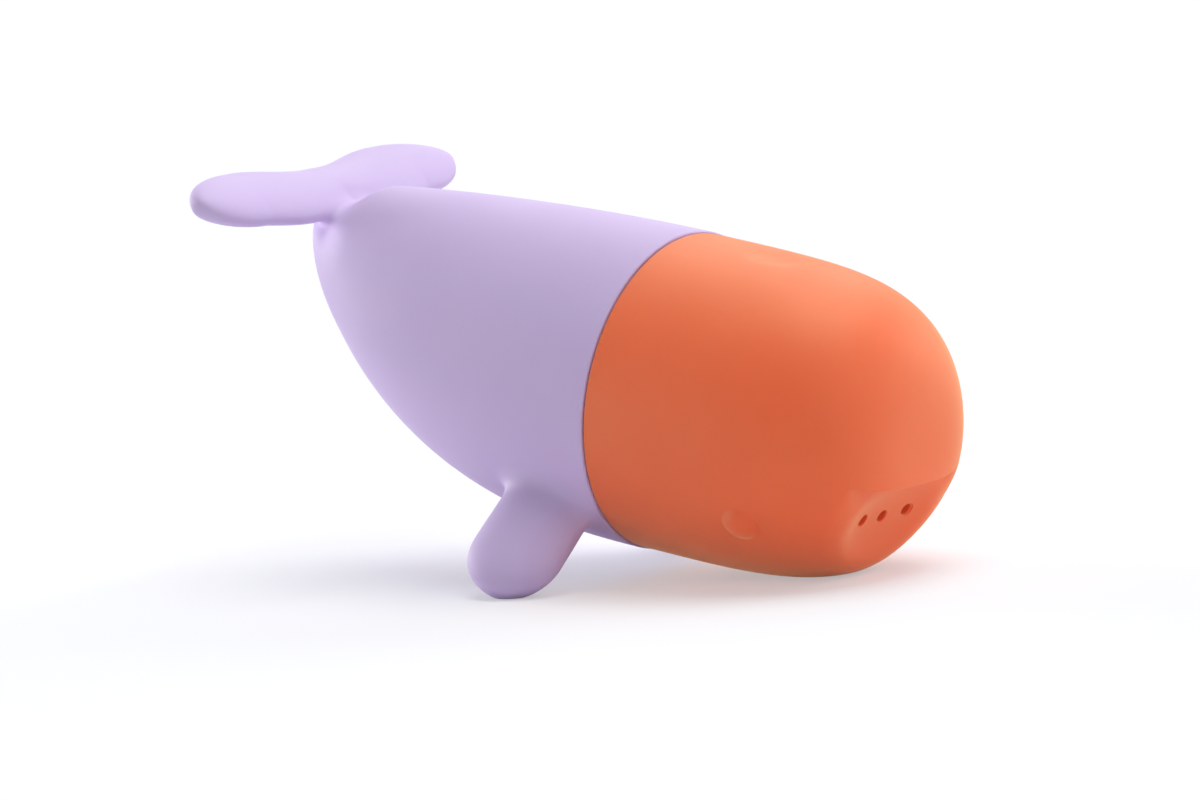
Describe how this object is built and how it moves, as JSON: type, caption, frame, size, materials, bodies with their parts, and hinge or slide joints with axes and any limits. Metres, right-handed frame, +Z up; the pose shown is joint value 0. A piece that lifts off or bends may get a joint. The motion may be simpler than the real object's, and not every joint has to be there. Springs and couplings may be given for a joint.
{
  "type": "squeaky bath whale",
  "caption": "Soft whale-shaped bath toy that pulls apart at a sealed neck and squeaks and squirts through holes in its mouth when squeezed.",
  "frame": {"origin": "middle of the footprint at floor level, with the toy standing nose-down on its flippers and chin", "axes": "+X towards the nose, +Y to the whale's left, +Z up"},
  "size_m": [0.134, 0.0726, 0.0721],
  "materials": {
    "lilac_silicone": "soft-touch matte silicone, lilac",
    "orange_silicone": "soft-touch matte silicone, coral orange",
    "purple_plastic": "satin moulded plastic, deep purple",
    "ivory_plastic": "satin moulded plastic, ivory",
    "seal_rubber": "smooth black nitrile rubber",
    "squeaker_plastic": "natural moulded plastic",
    "reed_film": "thin red plastic film"
  },
  "bodies": {
    "tail_half": {"body_shell": "lilac_silicone", "socket_ring": "purple_plastic"},
    "seal": {"neck_seal": "seal_rubber"},
    "head_half": {"spigot_ring": "ivory_plastic", "head_shell": "orange_silicone", "squeaker_barrel": "squeaker_plastic", "reed_bed": "squeaker_plastic", "reed_wedge": "squeaker_plastic", "squeaker_cap": "squeaker_plastic"},
    "reed": {"squeaker_reed": "reed_film"}
  },
  "joints": [
    {"name": "head_pull", "type": "slide", "parent": "tail_half", "child": "seal", "axis": [0.9834, 0, -0.1817], "range_m": [0, 0.02]},
    {"name": "head_turn", "type": "hinge", "parent": "seal", "child": "head_half", "pos_m": [0.01561, 0, 0.03131], "axis": [0.9834, 0, -0.1817], "continuous": true},
    {"name": "reed_flex", "type": "hinge", "parent": "head_half", "child": "reed", "pos_m": [0.04432, 0, 0.01842], "axis": [0, -1, 0], "range_deg": [0, 4], "stiffness_Nm_per_rad": 0.0001}
  ]
}
